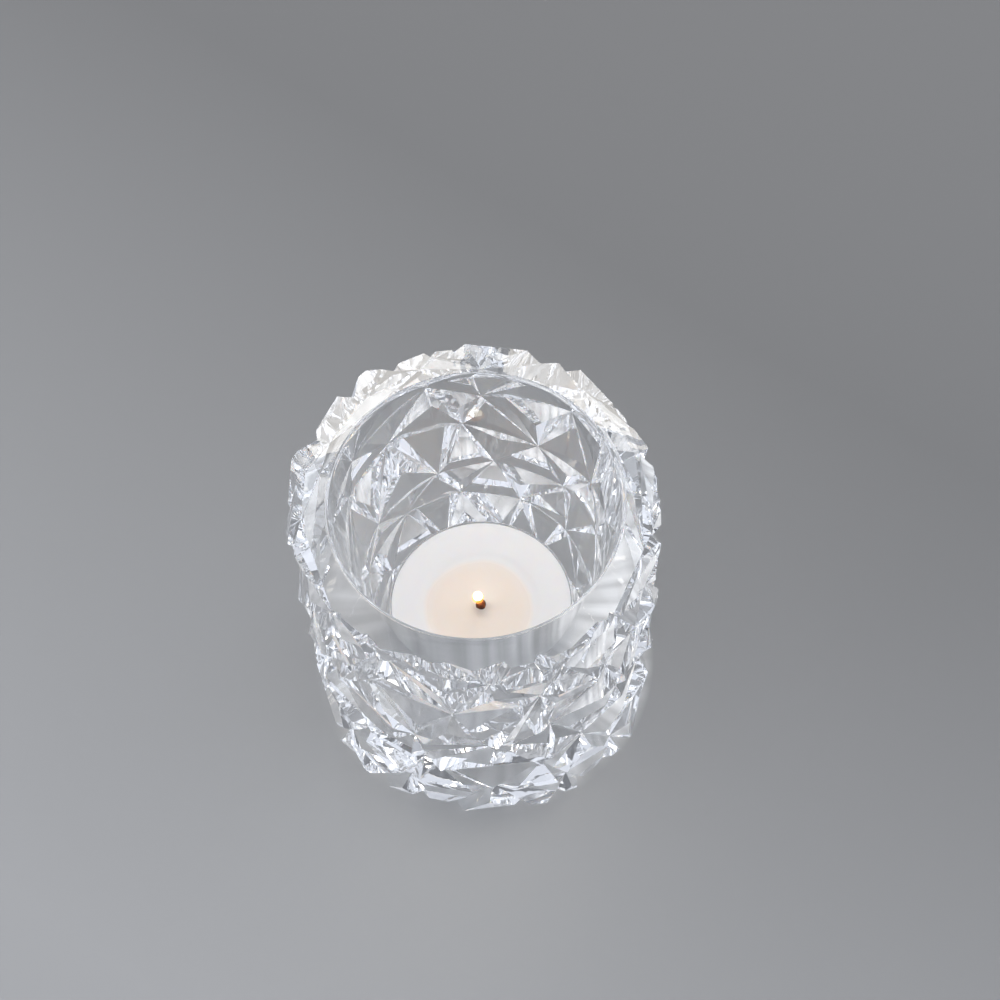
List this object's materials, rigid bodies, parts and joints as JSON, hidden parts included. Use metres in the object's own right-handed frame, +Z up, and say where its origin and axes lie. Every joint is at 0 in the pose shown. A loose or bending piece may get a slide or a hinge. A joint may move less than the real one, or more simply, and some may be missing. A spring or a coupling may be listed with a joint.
{
  "type": "tealight holder",
  "caption": "Thick clear crystal tealight holder, faceted all round outside, with a smooth bowl and a flat rim, holding a lift-out tealight in a clear cup.",
  "frame": {"origin": "centre of the flat base, on the surface that the holder stands on", "axes": "+Z up along the bowl's axis, -Y towards the front, from where the holder is usually seen"},
  "size_m": [0.075, 0.0746, 0.073],
  "materials": {
    "crystal": "clear, fire-polished facets, polished rim and base",
    "clear_cup": "clear thin-walled moulded plastic, modelled as glass because the library has no clear plastic",
    "wax": null,
    "wick": "braided cotton, charred at the tip",
    "tin_plate": "thin tin-plated steel"
  },
  "bodies": {
    "holder": {"glass_body": "crystal"},
    "tealight": {"tealight_cup": "clear_cup", "wax": "wax", "wick": "wick", "wick_sustainer": "tin_plate"}
  },
  "joints": [
    {"name": "tealight_lift", "type": "slide", "parent": "holder", "child": "tealight", "axis": [0, 0, 1], "range_m": [0, 0.065]}
  ]
}
